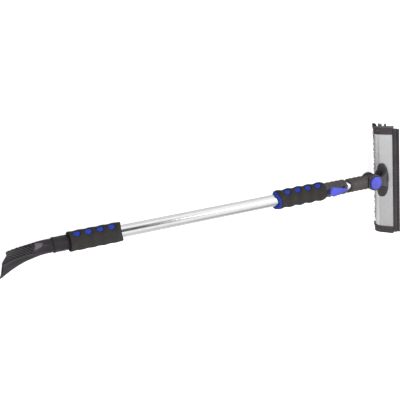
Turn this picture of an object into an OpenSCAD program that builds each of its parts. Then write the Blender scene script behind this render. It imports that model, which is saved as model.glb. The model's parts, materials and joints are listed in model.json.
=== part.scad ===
// Telescoping snow brush with an ice scraper, foam grips and a pivoting head.
// The pole lies along X, with the head at +X and the scraper at -X.
// +Z is up when the tool lies on its bristles. The origin is on the pole's axis,
// in the middle of the bare stretch between the two grips. Units are millimetres.

/* [Pole] */
// Outside diameter of the outer tube
tube_d = 28.6; // [28.2:0.1:29]
// Wall of both tubes
tube_wall = 1; // [0.8:0.1:1.2]
// Outside diameter of the inner tube
inner_d = 25; // [24.6:0.1:25.4]
// Rear end of the outer tube, inside the scraper's collar
tube_rear = -350; // [-352:1:-345]
// Front end of the outer tube, inside the clamp
tube_front = 372; // [371:1:372]
// Rear end of the inner tube when the pole is closed
inner_rear = -120; // [-140:1:-110]
// Front end of the inner tube, inside the neck
inner_front = 444; // [436:1:446]
// Radial clearance of a running fit
running = 0.05; // [0.03:0.01:0.1]

/* [Grips] */
// Rear end of the rear grip
rear_grip_x = -318; // [-320:1:-316]
// Length of the rear grip
rear_grip_len = 122; // [116:1:126]
// Rear end of the front grip
front_grip_x = 196; // [190:1:200]
// Length of the front grip
front_grip_len = 136; // [128:1:136]
// Mean radius of the foam
foam_r = 22.2; // [21:0.1:22.5]
// Height of the rear foam's waves
rear_wave = 0.5; // [0.3:0.1:1.1]
// Height of the front foam's waves
front_wave = 1.1; // [0.3:0.1:1.1]
// Radius of the blue sleeve under the foam
core_r = 18; // [17:0.1:18.5]
// Diameter of a window in the foam
window_d = 17; // [12:0.5:18]
// Number of windows in a row
window_count = 4; // [2:1:4]
// Turn of the windows' row around the pole, from the side towards the top
window_turn = 25; // [0:1:40]
// Turn of the front ring's mouth around the pole
mouth_turn = 20; // [0:1:40]

/* [Scraper] */
// Front end of the scraper's collar, against the rear grip
collar_len = 37; // [34:1:38]
// Outside diameter of the collar
collar_d = 35; // [33.5:0.1:35]
// Length of the blade beyond the collar
blade_len = 112; // [100:1:120]
// Width of the blade at its edge
blade_w = 103; // [90:1:110]
// How far the edge is bent out of the pole's axis
blade_bend = 20; // [16:1:24]
// Thickness at the edge
edge_t = 2.4; // [2:0.1:3.5]
// How far the edge is cut askew from one corner to the other
edge_skew = 4; // [0:0.5:6]
// Turn of the scraper around the pole, against the head
scraper_turn = 40; // [0:1:45]
// Number of ice-breaking ribs
rib_count = 9; // [4:1:10]

/* [Clamp] */
// Rear end of the clamp's collar
clamp_x = 332; // [332:0.5:334]
// Length of the clamp's collar
clamp_len = 62; // [62:0.5:63]
// Mean radius of the collar
clamp_r = 17.9; // [17.5:0.1:18]
// Radius of the lever's round end
lever_r = 11.5; // [10:0.5:12]
// Height of the lever's face over the pole's axis
lever_top = 27.5; // [25:0.5:28]

/* [Neck and pivot] */
// Place of the pivot along the pole
pivot_x = 476; // [474:1:478]
// Tips of the neck's forked mouth
mouth_x = 404; // [403:1:406]
// Mean radius of the neck
neck_r = 17.1; // [16.5:0.1:17.3]
// Radius of the round button
button_r = 16; // [14:0.5:16]
// Travel of the button
button_travel = 3.5; // [2.5:0.1:3.5]

/* [Head] */
// Distance from the pivot to the middle of the plate
head_reach = 40; // [39:0.5:43]
// How far the head's middle lies beside the pole
head_shift = -7.5; // [-8:0.5:0]
// How far the head stands turned on its pivot
head_turn = 1.3; // [-2:0.1:2]
// Tilt of the plate around Y
head_tilt = -50; // [-56:1:-46]
// Half of the plate's length
plate_half = 125; // [115:1:127]
// Half of the head's length over its caps
head_half = 139.5; // [137:0.5:145]
// Width of the flat part of the plate on the squeegee side
plate_flat = 22; // [20:0.5:24]
// Radius of the plate's rounded side
plate_round = 19; // [17:0.5:20]
// Thickness of the plate
plate_t = 1.6; // [1.2:0.1:2]
// Length of the bristles
bristle_len = 30; // [20:1:40]
// Width of the squeegee's rail
rail_w = 9.5; // [8:0.5:12]
// How far the rubber stands out of its rail
rubber_out = 7; // [4:0.5:10]

/* [Hidden] */
$fn = 64;
eps = 0.01;

tube_r = tube_d / 2;
bore_r = tube_r - tube_wall;
inner_r = inner_d / 2;
inner_bore_r = inner_r - tube_wall;

collar_r = collar_d / 2;
collar_x = rear_grip_x - collar_len;
rivet_x = rear_grip_x - 14;
rivet_r = 2;
root_len = 40;
root_share = (root_len + 3) / blade_len;
root_w = 1.96 * half_w_at(root_share);
root_t = 0.96 * thick_at(root_share);
rib_h = 1.8;
rib_w = 2.2;
rib_angle = 54;
rib_pitch = 9.5;
rib_first = 6 - blade_len;
rib_clear = 46;
rib_start = 1.5;
scallop = 3;

wave_steps = 40;
rear_pitch = 26.7;
rear_first = rear_grip_x + 17;
front_pitch = 28.6;
front_first = front_grip_x + 31;
stud_r = window_d / 2 - 0.4;
foam_gap = 9;
foam_lip = 1;
stud_sink = 0.3;
ring_len = 6;
mouth_depth = 6;

bump_h = 0.9;
bump_pitch = 13;
clamp_end = clamp_x + clamp_len;
liner_x = tube_front + 0.5;
liner_r = 14.5;
pin_x = clamp_end - 6;
pin_z = 19;
pin_r = 1.5;
cam_r = 3.9;
cam_off = 0.25;
cam_half = 4;
lever_gap = 6;
lever_low = 12;
lever_room = 0.4;
lever_tip_r = 4;
lever_tip_x = pin_x - 7;
lug_y = 5.3;
lug_t = 3.2;
lug_half = 5.5;
lug_top = pin_z + 2.5;
slot_len = 9.2;
slot_w = 8.6;
clamp_screw_x = clamp_x + 22;
clamp_screw_r = 1.5;
slit_w = 2;
slit_half = 4.5;

neck_body_end = pivot_x - 10;
tongue_r = 16;
tongue_half = 10.5;
ear_r = 20;
ear_gap = 0.5;
ear_room = 2;
near_top = 20;
far_bottom = -17;
seat_z = 15;
disc_low = 4;
disc_high = 14;
disc_r = 9.6;
spline_r = 11.4;
spline_count = 8;
stem_r = 7;
button_top = 24.5;
pocket_floor = -6;
pivot_pin_r = 3;
pin_top = 12;
spring_wire = 1.2;
spring_turns = 4;
spring_r = 7;
wire_sides = 6;
coil_steps = 64;

skin = 0.1;
block_top = -plate_t - skin;
block_depth = 16;
block_half = head_half - 4.5;
rail_half = head_half - 4;
plate_flat_end = -9;
block_edge = plate_flat_end - 16;
pocket_pitch = 40;
pocket_len = 36;
pocket_depth = 12;
cap_over = 2.2;
cap_low = -16.4;
cap_slant = 1.5;
arc_end = 80;
arc_steps = 10;
cap_in_right = plate_half - 3;
cap_in_left = plate_half - 3 - cap_slant;
screw_u = -14;
screw_y = (plate_half + head_half) / 2 - 1;
yoke_screw_u = -6;
yoke_screw_y = [for (y = [-33, -15, 15, 33]) y - head_shift];
yoke_screw_r = 1.6;
pad_t = 5;
pad_y = 2.5;
pad_dent = 1.5;
pad_dent_y = -9;
web_half = 12;
web_foot_half = 21;
pad_half = 44;
pad_left = -18.5;
pad_right = 12.5;
pad_middle = -3;
bristle_half = 134;
row_count = 3;
row_first = -20;
row_pitch = 8;
row_t = 4;
row_fan = 7;
splay = 18.5;

// A cylinder along X
module bar_x(x, len, r) {
    translate([x, 0, 0]) rotate([0, 90, 0]) cylinder(h = len, r = r);
}

// A solid turned around the pole's axis; points are [radius, place along X]
module lathe_x(points) {
    rotate([0, 90, 0]) rotate_extrude() polygon(points);
}

// A hollow tube along X
module pipe_x(x, len, r_out, r_in) {
    lathe_x([[r_in, x], [r_out, x], [r_out, x + len], [r_in, x + len]]);
}

// A collar outline with soft ring-shaped bumps between two stations
function bumpy(x0, x1, r, first) =
    [for (i = [0 : wave_steps]) let (x = x0 + i * (x1 - x0) / wave_steps)
        [r + bump_h * pow(max(0, cos(360 * (x - first) / bump_pitch)), 2), x]];

// A fork-shaped mouth: a saddle cut whose valley faces up and down
module mouth_cut(x_tip, r, depth) {
    cut_r = (r * r + depth * depth) / (2 * depth);
    translate([x_tip + depth - cut_r, 0, -2 * r]) cylinder(h = 4 * r, r = cut_r);
}

// ---- scraper ----

// Height of the blade's middle, its thickness and its width, at a share of its length
function bend_at(s) = blade_bend * pow(s, 2.1);
function thick_at(s) = edge_t + (collar_d - edge_t) * pow(max(0, 1 - s), 2.2);
function half_w_at(s) = (collar_d + (blade_w - collar_d) * pow(s, 1.2)) / 2;
function share(i) = i / 14;

module in_scraper_frame() {
    rotate([scraper_turn, 0, 0]) translate([collar_x, 0, 0]) children();
}

// The blade as a dish around its root: a share of its thickness below the middle, a height above its face
module blade_dish(below, above) {
    upper = [for (i = [5 : 18]) let (s = share(i))
        [s * blade_len, bend_at(s) + thick_at(s) / 2 + above]];
    lower = [for (i = [18 : -1 : 5]) let (s = share(i))
        [s * blade_len, bend_at(s) - below * thick_at(s) / 2]];
    rotate_extrude() polygon(concat(upper, lower));
}

// The blade's outline, with two shallow scallops in its edge
module blade_outline(inset) {
    left = [for (i = [5 : 13]) let (s = share(i)) [-s * blade_len, half_w_at(s) - inset]];
    edge = [for (i = [-6 : 6]) let (t = i / 6)
        [-blade_len - scallop * cos(360 * t) + edge_skew * -t, -t * (blade_w / 2 - inset)]];
    right = [for (i = [13 : -1 : 5]) let (s = share(i)) [-s * blade_len, inset - half_w_at(s)]];
    linear_extrude(height = 4 * blade_bend, center = true) polygon(concat(left, edge, right));
}

// Slanted ribs on one half of the blade's hollow face
module blade_ribs() {
    intersection() {
        blade_dish(0, rib_h);
        blade_outline(1);
        translate([-1.1 * blade_len, rib_start, -blade_bend])
            cube([1.1 * blade_len - rib_clear, blade_w, 4 * blade_bend]);
        union() {
            for (i = [0 : rib_count - 1])
                translate([rib_first + i * rib_pitch, 0, -blade_bend]) rotate([0, 0, 180 - rib_angle])
                    translate([0, -rib_w / 2, 0]) cube([blade_w, rib_w, 4 * blade_bend]);
        }
    }
}

module scraper() {
    color("#2e2e30")
        difference() {
            union() {
                bar_x(collar_x, collar_len, collar_r);
                in_scraper_frame() {
                    hull() {
                        rotate([0, 90, 0]) cylinder(h = 2, r = collar_r - 0.05, $fn = 32);
                        translate([-root_len - 4, -root_w / 2, bend_at(root_share) - root_t / 2])
                            cube([2, root_w, root_t]);
                    }
                    intersection() {
                        blade_dish(1, 0);
                        blade_outline(0);
                    }
                    blade_ribs();
                }
            }
            bar_x(tube_rear, collar_len + 10, tube_r);
            rivet_holes();
        }
}

module rivet_holes() {
    rotate([scraper_turn, 0, 0]) translate([rivet_x, 0, -collar_r - 5])
        cylinder(h = 2 * collar_r + 10, r = rivet_r);
}

module scraper_rivets() {
    color("silver")
        rotate([scraper_turn, 0, 0])
            for (side = [0, 180])
                rotate([side, 0, 0]) translate([rivet_x, 0, 0])
                    rotate_extrude()
                        polygon([[0, bore_r - 1], [rivet_r, bore_r - 1], [rivet_r, collar_r + 0.1],
                                 [3.4, collar_r + 0.1], [3, collar_r + 0.9], [1.8, collar_r + 1.3],
                                 [0, collar_r + 1.4]]);
}

// ---- tubes ----

module outer_tube() {
    color("silver")
        difference() {
            pipe_x(tube_rear, tube_front - tube_rear, tube_r, bore_r);
            rivet_holes();
            translate([clamp_screw_x, 0, -tube_r - 1]) cylinder(h = tube_r, r = clamp_screw_r);
        }
}

module inner_tube() {
    color("silver")
        difference() {
            pipe_x(inner_rear, inner_front - inner_rear, inner_r, inner_bore_r);
            translate([inner_front - 9, 0, -inner_r - 1]) cylinder(h = inner_r, r = rivet_r);
        }
}

module guide_bush() {
    color("white")
        lathe_x([[6, inner_rear - 6], [bore_r - running, inner_rear - 6],
                 [bore_r - running, inner_rear - 0.2], [inner_bore_r - running, inner_rear - 0.2],
                 [inner_bore_r - running, inner_rear + 20], [6, inner_rear + 20]]);
}

// ---- grips ----

module window_row(first, pitch, r, depth) {
    for (i = [0 : window_count - 1])
        translate([first + i * pitch, 0, 0]) rotate([90 + window_turn, 0, 0])
            cylinder(h = 2 * depth, r = r, center = true);
}

// A wavy foam sleeve over its core; a lip at each end covers the core's end
module grip_foam(x0, x1, first, pitch, wave) {
    difference() {
        lathe_x(concat(
            [for (i = [0 : wave_steps]) let (x = x0 + i * (x1 - x0) / wave_steps)
                [foam_r + wave * cos(360 * (x - first - foam_gap) / pitch), x]],
            [[tube_r, x1], [tube_r, x1 - foam_lip], [core_r, x1 - foam_lip], [core_r, x0 + foam_lip],
             [tube_r, x0 + foam_lip], [tube_r, x0]]));
        window_row(first, pitch, window_d / 2, 2 * foam_r);
    }
}

module grip_core(x0, x1, first, pitch) {
    pipe_x(x0 + foam_lip, x1 - x0 - 2 * foam_lip, core_r, tube_r);
    intersection() {
        window_row(first, pitch, stud_r, 2 * foam_r);
        pipe_x(x0, x1 - x0, foam_r - stud_sink, tube_r);
    }
}

module rear_grip_core() {
    color("#2846be") grip_core(rear_grip_x, rear_grip_x + rear_grip_len, rear_first, rear_pitch);
}

module rear_grip_foam() {
    color("#3a3a38") grip_foam(rear_grip_x, rear_grip_x + rear_grip_len, rear_first, rear_pitch, rear_wave);
}

module front_grip_core() {
    color("#2846be")
        difference() {
            union() {
                grip_core(front_grip_x, front_grip_x + front_grip_len, front_first, front_pitch);
                pipe_x(front_grip_x, ring_len + mouth_depth, foam_r, tube_r);
            }
            rotate([mouth_turn, 0, 0]) mouth_cut(front_grip_x, foam_r, mouth_depth);
        }
}

module front_grip_foam() {
    color("#3a3a38")
        difference() {
            grip_foam(front_grip_x, front_grip_x + front_grip_len, front_first, front_pitch, front_wave);
            pipe_x(front_grip_x - 1, ring_len + mouth_depth + 1 + eps, foam_r + 3, tube_r - 1);
        }
}

// ---- clamp ----

module clamp_collar() {
    color("#4a4846")
        difference() {
            union() {
                lathe_x(concat([[tube_r, clamp_x]], bumpy(clamp_x, clamp_end, clamp_r, clamp_end - 6),
                    [[liner_r, clamp_end], [liner_r, liner_x], [tube_r, liner_x]]));
                for (side = [0, 1])
                    mirror([0, side, 0]) translate([pin_x - lug_half, lug_y, liner_r - 1.5])
                        cube([2 * lug_half, lug_t, lug_top - liner_r + 1.5]);
            }
            translate([clamp_x + 1.5, -slit_half, tube_r - 1]) cube([slit_w, 2 * slit_half, clamp_r]);
            bar_x(liner_x, clamp_len, liner_r);
            bar_x(clamp_x - 1, clamp_len, tube_r);
            translate([pin_x - slot_len / 2, -slot_w / 2, inner_r])
                cube([slot_len, slot_w, inner_r]);
            translate([pin_x, -lever_r, pin_z]) rotate([-90, 0, 0]) cylinder(h = 2 * lever_r, r = pin_r);
            translate([clamp_screw_x, 0, -clamp_r - 3]) cylinder(h = clamp_r, r = clamp_screw_r);
            translate([clamp_screw_x, 0, -clamp_r - 3]) cylinder(h = 4, r = 2.8);
        }
}

module clamp_liner() {
    color("white")
        difference() {
            pipe_x(liner_x, clamp_end - liner_x - 0.5, liner_r, inner_r + running);
            translate([liner_x - 1, -1, -liner_r - 1]) cube([clamp_len, 2, liner_r]);
        }
}

module clamp_screw() {
    color("silver")
        translate([clamp_screw_x, 0, 0])
            rotate_extrude()
                polygon([[0, -clamp_r], [2.7, -clamp_r], [2.7, -clamp_r + 1], [clamp_screw_r, -clamp_r + 1],
                         [clamp_screw_r, -bore_r + 0.2], [0, -bore_r + 0.2]]);
}

module lever_pin() {
    color("silver")
        translate([pin_x, -lug_y - lug_t, pin_z]) rotate([-90, 0, 0])
            cylinder(h = 2 * (lug_y + lug_t), r = pin_r);
}

module lock_lever() {
    color("#5055d7")
        difference() {
            union() {
                difference() {
                    translate([0, 0, lever_low]) linear_extrude(height = lever_top - lever_low)
                        hull() {
                            translate([clamp_x + lever_gap + lever_r, 0]) circle(r = lever_r);
                            translate([lever_tip_x, 0]) circle(r = lever_tip_r);
                        }
                    bar_x(clamp_x, clamp_len, clamp_r + bump_h + lever_room);
                }
                translate([pin_x - cam_off, -cam_half, pin_z - cam_off]) rotate([-90, 0, 0])
                    cylinder(h = 2 * cam_half, r = cam_r);
            }
            translate([pin_x, -lever_r, pin_z]) rotate([-90, 0, 0])
                cylinder(h = 2 * lever_r, r = pin_r + running);
        }
}

// ---- neck ----

module neck() {
    color("#464442")
        difference() {
            union() {
                lathe_x(concat([[0, mouth_x]], bumpy(mouth_x, neck_body_end, neck_r, mouth_x + 12),
                    [[0, neck_body_end]]));
                translate([pivot_x, 0, -tongue_half]) cylinder(h = 2 * tongue_half, r = tongue_r);
                translate([neck_body_end - 2, -tongue_r, -tongue_half])
                    cube([pivot_x - neck_body_end + 2, 2 * tongue_r, 2 * tongue_half]);
            }
            mouth_cut(mouth_x, neck_r, mouth_depth - 1);
            bar_x(mouth_x - 1, inner_front + 0.2 - mouth_x + 1, inner_r);
            for (side = [0, 1])
                mirror([0, 0, side]) translate([pivot_x, 0, tongue_half])
                    cylinder(h = neck_r, r = ear_r + ear_room);
            translate([pivot_x, 0, -tongue_half - 1])
                cylinder(h = 2 * tongue_half, r = pivot_pin_r + running);
            translate([pivot_x, 0, pocket_floor]) lock_profile(2 * tongue_half, 0.15);
            translate([inner_front - 9, 0, -neck_r - 3]) cylinder(h = neck_r, r = rivet_r);
        }
}

module neck_rivet() {
    color("silver")
        translate([inner_front - 9, 0, 0])
            rotate_extrude()
                polygon([[0, -neck_r - 1.8], [1.8, -neck_r - 1.7], [3.2, -neck_r - bump_h - 0.1],
                         [rivet_r, -neck_r - bump_h - 0.1], [rivet_r, -inner_bore_r + 1],
                         [0, -inner_bore_r + 1]]);
}

// A round disc with straight splines
module lock_profile(height, gap) {
    cylinder(h = height, r = disc_r + gap);
    for (i = [0 : spline_count - 1])
        rotate([0, 0, i * 360 / spline_count])
            translate([disc_r - 1.5, -2 - gap, 0]) cube([spline_r + gap - disc_r + 1.5, 4 + 2 * gap, height]);
}

module lock_disc() {
    color("silver")
        translate([pivot_x, 0, 0])
            difference() {
                translate([0, 0, disc_low]) lock_profile(disc_high - disc_low, 0);
                translate([0, 0, disc_low - 1]) cylinder(h = disc_high, r = pivot_pin_r + 0.4);
                translate([0, 0, disc_low - 1]) cylinder(h = 4, r = spring_r + 1.4);
            }
}

// Points of a coil spring's wire: a ring of wire_sides points at each step of the helix
function coil_ring(i, floor_z, rise) =
    let (turn = 360 * spring_turns * i / coil_steps)
    [for (k = [0 : wire_sides - 1]) let (b = 360 * k / wire_sides, r = spring_r + spring_wire / 2 * cos(b))
        [r * cos(turn), r * sin(turn), floor_z + rise * i / coil_steps + spring_wire / 2 * sin(b)]];

module button_spring() {
    floor_z = pocket_floor + spring_wire;
    rise = disc_low + 3 - spring_wire - floor_z;
    points = [for (i = [0 : coil_steps]) each coil_ring(i, floor_z, rise)];
    sides = [for (i = [0 : coil_steps - 1], k = [0 : wire_sides - 1])
        let (a = i * wire_sides + k, b = i * wire_sides + (k + 1) % wire_sides)
        [a, b, b + wire_sides, a + wire_sides]];
    ends = [[for (k = [wire_sides - 1 : -1 : 0]) k],
            [for (k = [0 : wire_sides - 1]) coil_steps * wire_sides + k]];
    color("silver")
        translate([pivot_x, 0, 0]) polyhedron(points = points, faces = concat(sides, ends));
}

module pivot_button() {
    cap_low = seat_z + button_travel + 0.3;
    color("#6066dd")
        translate([pivot_x, 0, 0])
            rotate_extrude()
                polygon([[0, disc_high + 5], [pivot_pin_r + 0.4, disc_high + 5],
                         [pivot_pin_r + 0.4, disc_high + eps], [stem_r, disc_high + eps], [stem_r, cap_low],
                         [button_r, cap_low], [button_r, button_top - 2], [button_r - 0.7, button_top - 0.8],
                         [button_r - 2.2, button_top], [0, button_top + 0.6]]);
}

// ---- head ----

// The head's own frame: u runs to the squeegee, Y along the head, w out of the plate
module in_head_frame() {
    translate([pivot_x, 0, 0]) rotate([0, 0, head_turn])
        translate([head_reach, head_shift, 0]) rotate([0, head_tilt, 0]) children();
}

// Section of the plate's outer face, moved in by a distance
function round_arc(inward) =
    [for (i = [0 : arc_steps]) let (a = arc_end * i / arc_steps)
        [plate_flat_end - (plate_round - inward) * sin(a),
         -plate_round + (plate_round - inward) * cos(a)]];

// Extrudes a section along the head
module along_head(half) {
    rotate([90, 0, 0]) linear_extrude(height = 2 * half, center = true) children();
}

module head_plate() {
    outer = round_arc(0);
    inner = round_arc(plate_t);
    color("#d8d8d6")
        in_head_frame() difference() {
            along_head(plate_half)
                polygon(concat([[plate_flat, 0]], outer,
                    [for (i = [arc_steps : -1 : 0]) inner[i]], [[plate_flat, -plate_t]]));
            yoke_screw_holes(yoke_screw_r);
        }
}

module brush_block() {
    color("#303032")
        in_head_frame() difference() {
            along_head(block_half)
                polygon(concat([[plate_flat - 0.1, block_top]], round_arc(plate_t + skin),
                    [[block_edge, -block_depth], [plate_flat - 0.1, -block_depth]]));
            yoke_screw_holes(yoke_screw_r);
            for (i = [-3 : 2])
                translate([1, (i + 0.5) * pocket_pitch - pocket_len / 2, -pocket_depth])
                    cube([18, pocket_len, pocket_depth]);
            for (y = yoke_screw_y)
                translate([yoke_screw_u, y, -block_depth - 1]) cylinder(h = 4, r = 3.1);
            for (side = [-1, 1])
                translate([screw_u, side * screw_y, -12]) cylinder(h = 20, r = 1.5);
        }
}

module yoke_screw_holes(r) {
    for (y = yoke_screw_y)
        translate([yoke_screw_u, y, -block_depth - 2]) cylinder(h = block_depth + pad_t - 0.5 + 2, r = r);
}

// The tufts of one row stand in a slab that leans out a little more from row to row
module bristles() {
    low = -block_depth - eps;
    color("#1c1c1e")
        in_head_frame() along_head(bristle_half)
            for (i = [0 : row_count - 1]) {
                root = row_first + i * row_pitch;
                lean = i * row_fan - splay;
                polygon([[root, low], [root + row_t, low], [root + row_t + lean, low - bristle_len],
                         [root + lean, low - bristle_len]]);
            }
}

// One end cap: a cover over the end of plate and block, open below for the bristles
module end_cap() {
    inner_u = plate_flat + 0.1;
    difference() {
        along_head(head_half)
            polygon(concat([[inner_u, cap_over]],
                [[plate_flat_end, cap_over]],
                [for (p = round_arc(-cap_over)) p],
                [[block_edge - 3.4, cap_low], [inner_u, cap_low - 2]]));
        // room for the block and the bristles
        translate([0, 0, -30]) linear_extrude(height = 60)
            polygon([[-60, -200], [60, -200], [60, cap_in_right], [-60, cap_in_left]]);
        translate([0, 0, -30]) linear_extrude(height = 60)
            polygon([[60, 200], [60, head_half], [plate_flat, head_half],
                     [block_edge - 4, head_half - cap_slant], [-60, head_half - cap_slant], [-60, 200]]);
        rotate([90, 0, 0]) linear_extrude(height = 2 * (block_half + skin), center = true)
            polygon(concat([[inner_u + 1, 0.1]], round_arc(-0.1),
                [[block_edge - 0.3, -block_depth - 0.1], [block_edge - 0.3, -30],
                 [inner_u + 1, -30]]));
        translate([screw_u, screw_y, -5]) cylinder(h = 12, r = 1.5);
        translate([screw_u, screw_y, cap_over - 1]) cylinder(h = 3, r = 3);
    }
}

module end_cap_left() {
    color("#414145") in_head_frame() mirror([0, 1, 0]) end_cap();
}

module end_cap_right() {
    color("#414145") in_head_frame() end_cap();
}

module cap_screws() {
    color("silver")
        in_head_frame()
            for (side = [-1, 1])
                translate([screw_u, side * screw_y, 0])
                    rotate_extrude()
                        polygon([[0, -10], [1.5, -10], [1.5, cap_over - 0.9], [2.9, cap_over - 0.9],
                                 [2.6, cap_over + 0.1], [0, cap_over + 0.3]]);
}

module squeegee_rail() {
    u0 = plate_flat + 0.2;
    color("#505054")
        in_head_frame() along_head(rail_half)
            polygon([[u0, 1.2], [u0 + rail_w - 1, 1.2], [u0 + rail_w, 0.2], [u0 + rail_w, -3],
                     [u0 + 2.5, -3], [u0 + 2.5, -5.6], [u0 + rail_w, -5.6], [u0 + rail_w, -8.5],
                     [u0 + rail_w - 1, -9.5], [u0, -9.5]]);
}

module squeegee_blade() {
    u0 = plate_flat + 0.2;
    color("#3e3e42")
        in_head_frame() along_head(rail_half)
            polygon([[u0 + 2.6, -3.1], [u0 + rail_w + 1, -3.1], [u0 + rail_w + rubber_out, -3.8],
                     [u0 + rail_w + rubber_out, -4.9], [u0 + rail_w + 1, -5.5], [u0 + 2.6, -5.5]]);
}

module yoke_screws() {
    color("silver")
        in_head_frame()
            for (y = yoke_screw_y)
                translate([yoke_screw_u, y, -block_depth])
                    rotate_extrude()
                        polygon([[0, 0.2], [3, 0.2], [3, 2.2], [yoke_screw_r, 3],
                                 [yoke_screw_r, block_depth + 4], [0, block_depth + 4.4]]);
}

// ---- yoke ----

// The saddle's footprint: square towards the plate's rounded side, oval with a shallow dent to the squeegee
module saddle_outline(inset) {
    polygon([for (a = [0 : 10 : 350]) let (
            y = (pad_half - inset) * sin(a),
            right = (pad_right - pad_middle - inset) * cos(a) - pad_dent * exp(-pow((y - pad_dent_y) / 6, 2)),
            left = (pad_left - pad_middle + inset) * pow(abs(cos(a)), 0.35))
        [pad_middle + (cos(a) > 0 ? right : left), pad_y + y]]);
}

// An ear around the pivot with its web down to the saddle
module ear(z_low, z_high, foot_u) {
    translate([pivot_x, 0, z_low]) cylinder(h = z_high - z_low, r = ear_r);
    hull() {
        translate([pivot_x, -web_half, z_low]) cube([2, 2 * web_half, z_high - z_low]);
        translate([pivot_x + ear_r + 3, -web_half, z_low]) cube([1, 2 * web_half, z_high - z_low]);
    }
    hull() {
        translate([pivot_x + ear_r + 2.5, -web_half, z_low]) cube([1, 2 * web_half, z_high - z_low]);
        in_head_frame() translate([foot_u, -web_foot_half - head_shift, 0.2]) cube([9, 2 * web_foot_half, 3]);
    }
}

module yoke() {
    near_low = tongue_half + ear_gap;
    color("#525056")
        difference() {
            union() {
                in_head_frame() {
                    translate([0, 0, 0.1]) linear_extrude(height = pad_t - 2) saddle_outline(0);
                    translate([0, 0, 1]) linear_extrude(height = pad_t - 1) saddle_outline(1.5);
                }
                ear(near_low, near_top, 0);
                ear(far_bottom, -tongue_half - ear_gap, pad_left);
            }
            translate([pivot_x, 0, -tongue_half - ear_gap])
                cylinder(h = 2 * (tongue_half + ear_gap), r = tongue_r + 1.5);
            translate([pivot_x - 40, -60, -tongue_half - ear_gap])
                cube([40, 120, 2 * (tongue_half + ear_gap)]);
            translate([pivot_x, 0, near_low - 1])
                cylinder(h = disc_high + 0.5 - near_low + 1, r = spline_r + 0.5);
            translate([pivot_x, 0, near_low - 1]) cylinder(h = near_top, r = stem_r + 0.3);
            translate([pivot_x, 0, seat_z]) cylinder(h = near_top, r = button_r + 0.3);
            translate([pivot_x, 0, far_bottom - 1]) cylinder(h = near_top, r = pivot_pin_r);
            in_head_frame() yoke_screw_holes(yoke_screw_r);
        }
}

module pivot_pin() {
    color("silver")
        translate([pivot_x, 0, far_bottom - 2.5]) cylinder(h = pin_top - far_bottom + 2.5, r = pivot_pin_r);
}

module pin_nut() {
    color("silver")
        translate([pivot_x, 0, far_bottom - 3])
            difference() {
                cylinder(h = 3, r = 5.8, $fn = 6);
                translate([0, 0, -1]) cylinder(h = 5, r = pivot_pin_r);
            }
}

scraper();
scraper_rivets();
outer_tube();
rear_grip_core();
rear_grip_foam();
front_grip_core();
front_grip_foam();
clamp_collar();
clamp_liner();
clamp_screw();
lever_pin();
lock_lever();
guide_bush();
inner_tube();
neck();
neck_rivet();
button_spring();
pivot_button();
lock_disc();
yoke();
pivot_pin();
pin_nut();
head_plate();
brush_block();
bristles();
end_cap_left();
end_cap_right();
cap_screws();
squeegee_rail();
squeegee_blade();
yoke_screws();
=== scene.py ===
import json
import math

import bmesh
import bpy
import numpy as np
from mathutils import Matrix, Vector

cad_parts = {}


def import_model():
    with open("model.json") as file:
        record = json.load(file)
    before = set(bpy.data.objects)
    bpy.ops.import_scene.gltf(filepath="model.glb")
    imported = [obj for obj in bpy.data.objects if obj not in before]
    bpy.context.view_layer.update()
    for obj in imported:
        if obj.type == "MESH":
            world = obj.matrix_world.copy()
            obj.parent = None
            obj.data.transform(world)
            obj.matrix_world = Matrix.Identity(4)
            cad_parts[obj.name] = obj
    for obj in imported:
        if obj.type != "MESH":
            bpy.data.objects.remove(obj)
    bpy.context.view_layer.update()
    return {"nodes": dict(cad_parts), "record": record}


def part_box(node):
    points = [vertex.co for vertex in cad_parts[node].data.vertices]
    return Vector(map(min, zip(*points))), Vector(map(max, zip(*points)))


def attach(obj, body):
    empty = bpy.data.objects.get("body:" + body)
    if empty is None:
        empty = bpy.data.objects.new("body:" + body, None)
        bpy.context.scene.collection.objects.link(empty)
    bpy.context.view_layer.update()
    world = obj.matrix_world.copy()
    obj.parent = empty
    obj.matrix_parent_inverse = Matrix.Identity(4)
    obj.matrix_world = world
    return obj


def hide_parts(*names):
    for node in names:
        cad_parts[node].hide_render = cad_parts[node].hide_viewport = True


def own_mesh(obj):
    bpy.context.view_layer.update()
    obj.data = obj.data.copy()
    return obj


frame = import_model()
NODES = frame["nodes"]
MM = 0.001
FULL_TURN = 2 * math.pi


# ---- materials ----

def material(name, color, rough, metal=0.0, specular=0.5, coat=0.0):
    """A principled material with the values that are the same all over, and its nodes."""
    mat = bpy.data.materials.new(name)
    mat.use_nodes = True
    tree = mat.node_tree
    shader = tree.nodes["Principled BSDF"]
    shader.inputs["Base Color"].default_value = (*color, 1)
    shader.inputs["Roughness"].default_value = rough
    shader.inputs["Metallic"].default_value = metal
    shader.inputs["Specular IOR Level"].default_value = specular
    shader.inputs["Coat Weight"].default_value = coat
    shader.inputs["Coat Roughness"].default_value = 0.2
    return mat, tree, shader


def coordinates(tree, stretch=(1, 1, 1)):
    """Object coordinates in millimetres; the grain runs long where stretch is small."""
    place = tree.nodes.new("ShaderNodeTexCoord")
    scale = tree.nodes.new("ShaderNodeMapping")
    scale.inputs["Scale"].default_value = [1000 * s for s in stretch]
    tree.links.new(place.outputs["Object"], scale.inputs["Vector"])
    return scale.outputs["Vector"]


def noise(tree, vector, size, detail=3, rough=0.5):
    """A noise whose features are about size millimetres."""
    n = tree.nodes.new("ShaderNodeTexNoise")
    n.inputs["Scale"].default_value = 1 / size
    n.inputs["Detail"].default_value = detail
    n.inputs["Roughness"].default_value = rough
    tree.links.new(vector, n.inputs["Vector"])
    return n.outputs["Fac"]


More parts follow.
